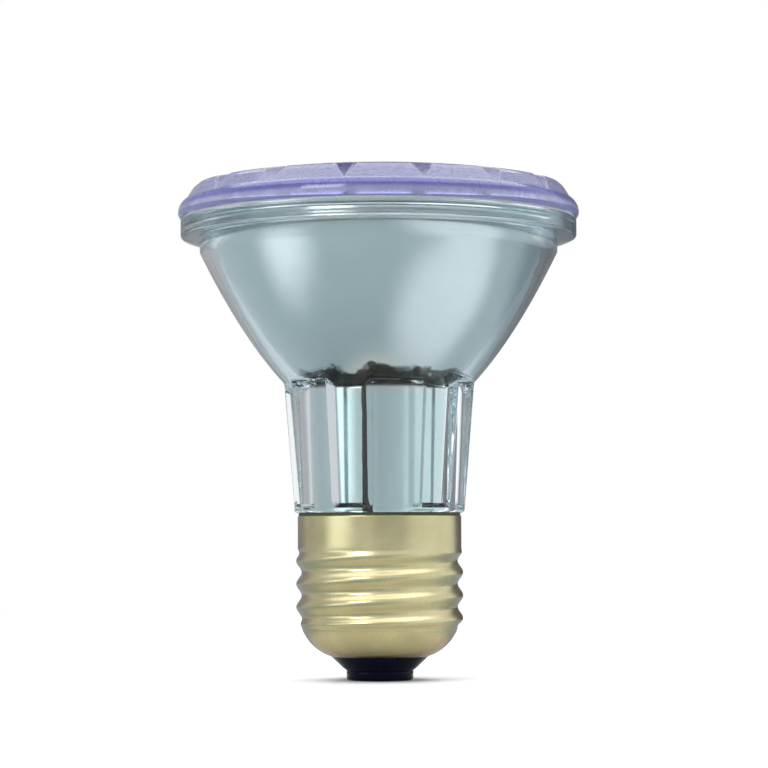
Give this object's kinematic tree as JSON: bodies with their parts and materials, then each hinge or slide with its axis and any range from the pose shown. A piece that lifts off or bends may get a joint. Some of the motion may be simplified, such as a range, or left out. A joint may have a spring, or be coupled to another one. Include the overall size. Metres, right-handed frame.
{
  "type": "halogen reflector bulb",
  "caption": "Reflector bulb with a violet-tinted glass lens, a silvered ribbed glass bowl, a halogen capsule inside and a brass screw base with a centre contact.",
  "frame": {"origin": "on the lamp's axis, in the plane of the centre contact's flat face", "axes": "+Z along the lamp's axis from the contact to the lens, -Y to the side that faces the picture's camera, +X to its right"},
  "size_m": [0.0636, 0.0636, 0.0803],
  "materials": {
    "violet_glass": "pressed, glossy, tinted through",
    "seal_bond": "bonded seam",
    "silvered_glass": "pressed clear glass, silvered inside",
    "quartz": "blown, clear, polished",
    "tungsten": "drawn and coiled",
    "molybdenum": "drawn or rolled, plain",
    "nickel_plate": "plated",
    "nickel_wire": "drawn wire",
    "cement": "dry, matt, dark",
    "brass": "rolled, pale, lightly dulled",
    "dark_glass": "moulded, glossy, opaque",
    "solder": "reflowed, dull"
  },
  "bodies": {
    "root": {"basing_cement": "cement", "capsule_envelope": "quartz", "centre_contact": "brass", "centre_lead": "nickel_wire", "contact_solder": "solder", "ferrule_left": "nickel_plate", "ferrule_right": "nickel_plate", "filament": "tungsten", "inner_lead_long": "molybdenum", "inner_lead_short": "molybdenum", "insulator": "dark_glass", "lead_pin_left": "molybdenum", "lead_pin_right": "molybdenum", "lens": "violet_glass", "lens_seal": "seal_bond", "reflector": "silvered_glass", "screw_shell": "brass", "seal_foil_left": "molybdenum", "seal_foil_right": "molybdenum", "side_lead": "nickel_wire", "side_solder": "solder"}
  },
  "joints": []
}
